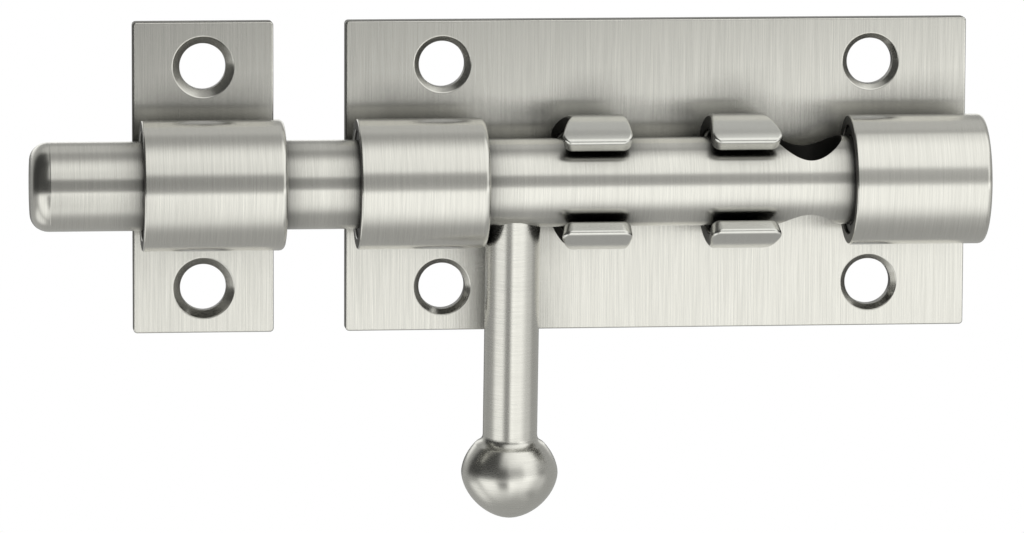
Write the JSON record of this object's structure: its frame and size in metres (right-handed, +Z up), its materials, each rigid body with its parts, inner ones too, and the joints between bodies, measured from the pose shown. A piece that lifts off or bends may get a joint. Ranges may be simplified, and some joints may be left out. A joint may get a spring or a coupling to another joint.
{
  "type": "slide bolt",
  "caption": "Surface slide bolt with guide tubes, C-shaped gate clips, a ball handle, a padlock hole in the bolt and a keeper on its own plate.",
  "frame": {"origin": "centre of the main plate's back face, which lies on the door", "axes": "+X along the bolt, away from the keeper; +Y into the door, out of the main plate's back face; +Z up, away from the hanging handle"},
  "size_m": [0.1518, 0.0236, 0.0796],
  "materials": {
    "brushed_plate": "stainless steel, brushed across the bolt",
    "brushed_tube": "stainless steel, brushed round the tube",
    "brushed_clip": "stainless steel, satin with polished tips",
    "brushed_bolt": "stainless steel, brushed round the bar",
    "black_nylon": "black nylon"
  },
  "bodies": {
    "base": {"main_plate": "brushed_plate", "front_tube": "brushed_tube", "rear_tube": "brushed_tube", "front_gate": "brushed_clip", "rear_gate": "brushed_clip", "keeper_plate": "brushed_plate", "keeper_tube": "brushed_tube"},
    "bushes": {"front_bush": "black_nylon", "rear_bush": "black_nylon", "keeper_bush": "black_nylon"},
    "bolt": {"bolt_rod": "brushed_bolt", "handle_shank": "brushed_bolt", "handle_knob": "brushed_bolt"}
  },
  "joints": [
    {"name": "handle_turn", "type": "hinge", "parent": "base", "child": "bushes", "pos_m": [0, -0.0132, 0], "axis": [-1, 0, 0], "range_deg": [0, 192.2]},
    {"name": "bolt_slide", "type": "slide", "parent": "bushes", "child": "bolt", "axis": [1, 0, 0], "range_m": [0, 0.0021]}
  ]
}
